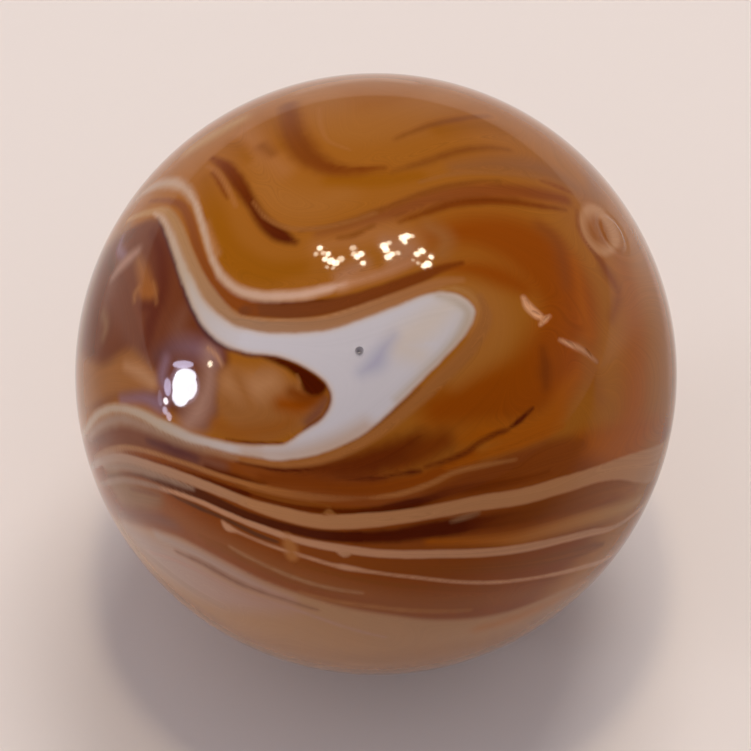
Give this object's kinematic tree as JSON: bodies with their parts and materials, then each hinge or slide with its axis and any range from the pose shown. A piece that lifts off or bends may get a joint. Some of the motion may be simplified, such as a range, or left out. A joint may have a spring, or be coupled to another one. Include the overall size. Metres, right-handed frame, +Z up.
{
  "type": "glass marble",
  "caption": "Round ball of fused amber, caramel and white swirled glass, with an open bubble and a ring-shaped bruise in its polished skin.",
  "frame": {"origin": "centre of the ball", "axes": "+Z up as the ball lies; the white swirl faces -Y and upwards, 50 degrees above the horizon; +X to the right of someone who looks along +Y"},
  "size_m": [0.016, 0.016, 0.016],
  "materials": {
    "swirled_glass": "fire-polished, caramel and amber with white ribbons"
  },
  "bodies": {
    "root": {"marble": "swirled_glass"}
  },
  "joints": []
}
